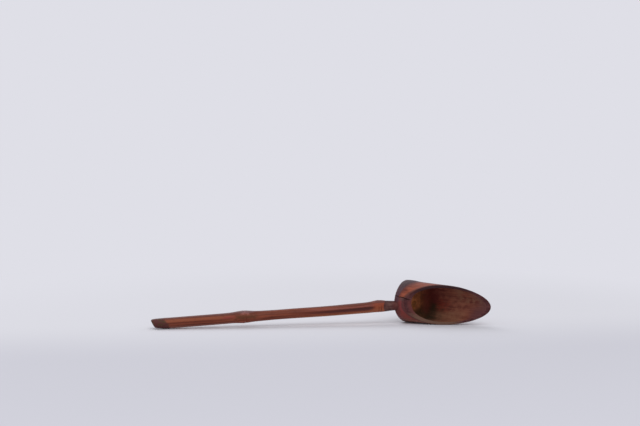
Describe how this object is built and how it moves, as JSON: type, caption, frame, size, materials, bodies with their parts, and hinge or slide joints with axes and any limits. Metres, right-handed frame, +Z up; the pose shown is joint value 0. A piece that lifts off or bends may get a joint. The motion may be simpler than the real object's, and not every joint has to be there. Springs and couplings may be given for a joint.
{
  "type": "bamboo spoon",
  "caption": "Long-handled scoop-shaped spoon: a slanted section of bamboo stem is the bowl, with a thinner jointed cane driven into its solid end at an angle as the handle.",
  "frame": {"origin": "middle of the surface that the spoon lies on, under the centre of its bounding box", "axes": "+Z up as the spoon lies at rest on the side of its bowl and the far end of its handle; +X along the handle towards the bowl; the bowl opens towards -Y"},
  "size_m": [0.2886, 0.0514, 0.0368],
  "materials": {
    "bowl_bamboo": "old brown bamboo stem, smooth satin skin outside, matt fibrous cut faces, dark streaked inside",
    "handle_cane": "reddish brown bamboo cane, satin skin with paler joints, dark whittled neck and dark handled end",
    "wedge_slip": "split bamboo slip, matt with straight fibres"
  },
  "bodies": {
    "root": {"bowl": "bowl_bamboo", "handle": "handle_cane", "tenon_wedge": "wedge_slip"}
  },
  "joints": []
}
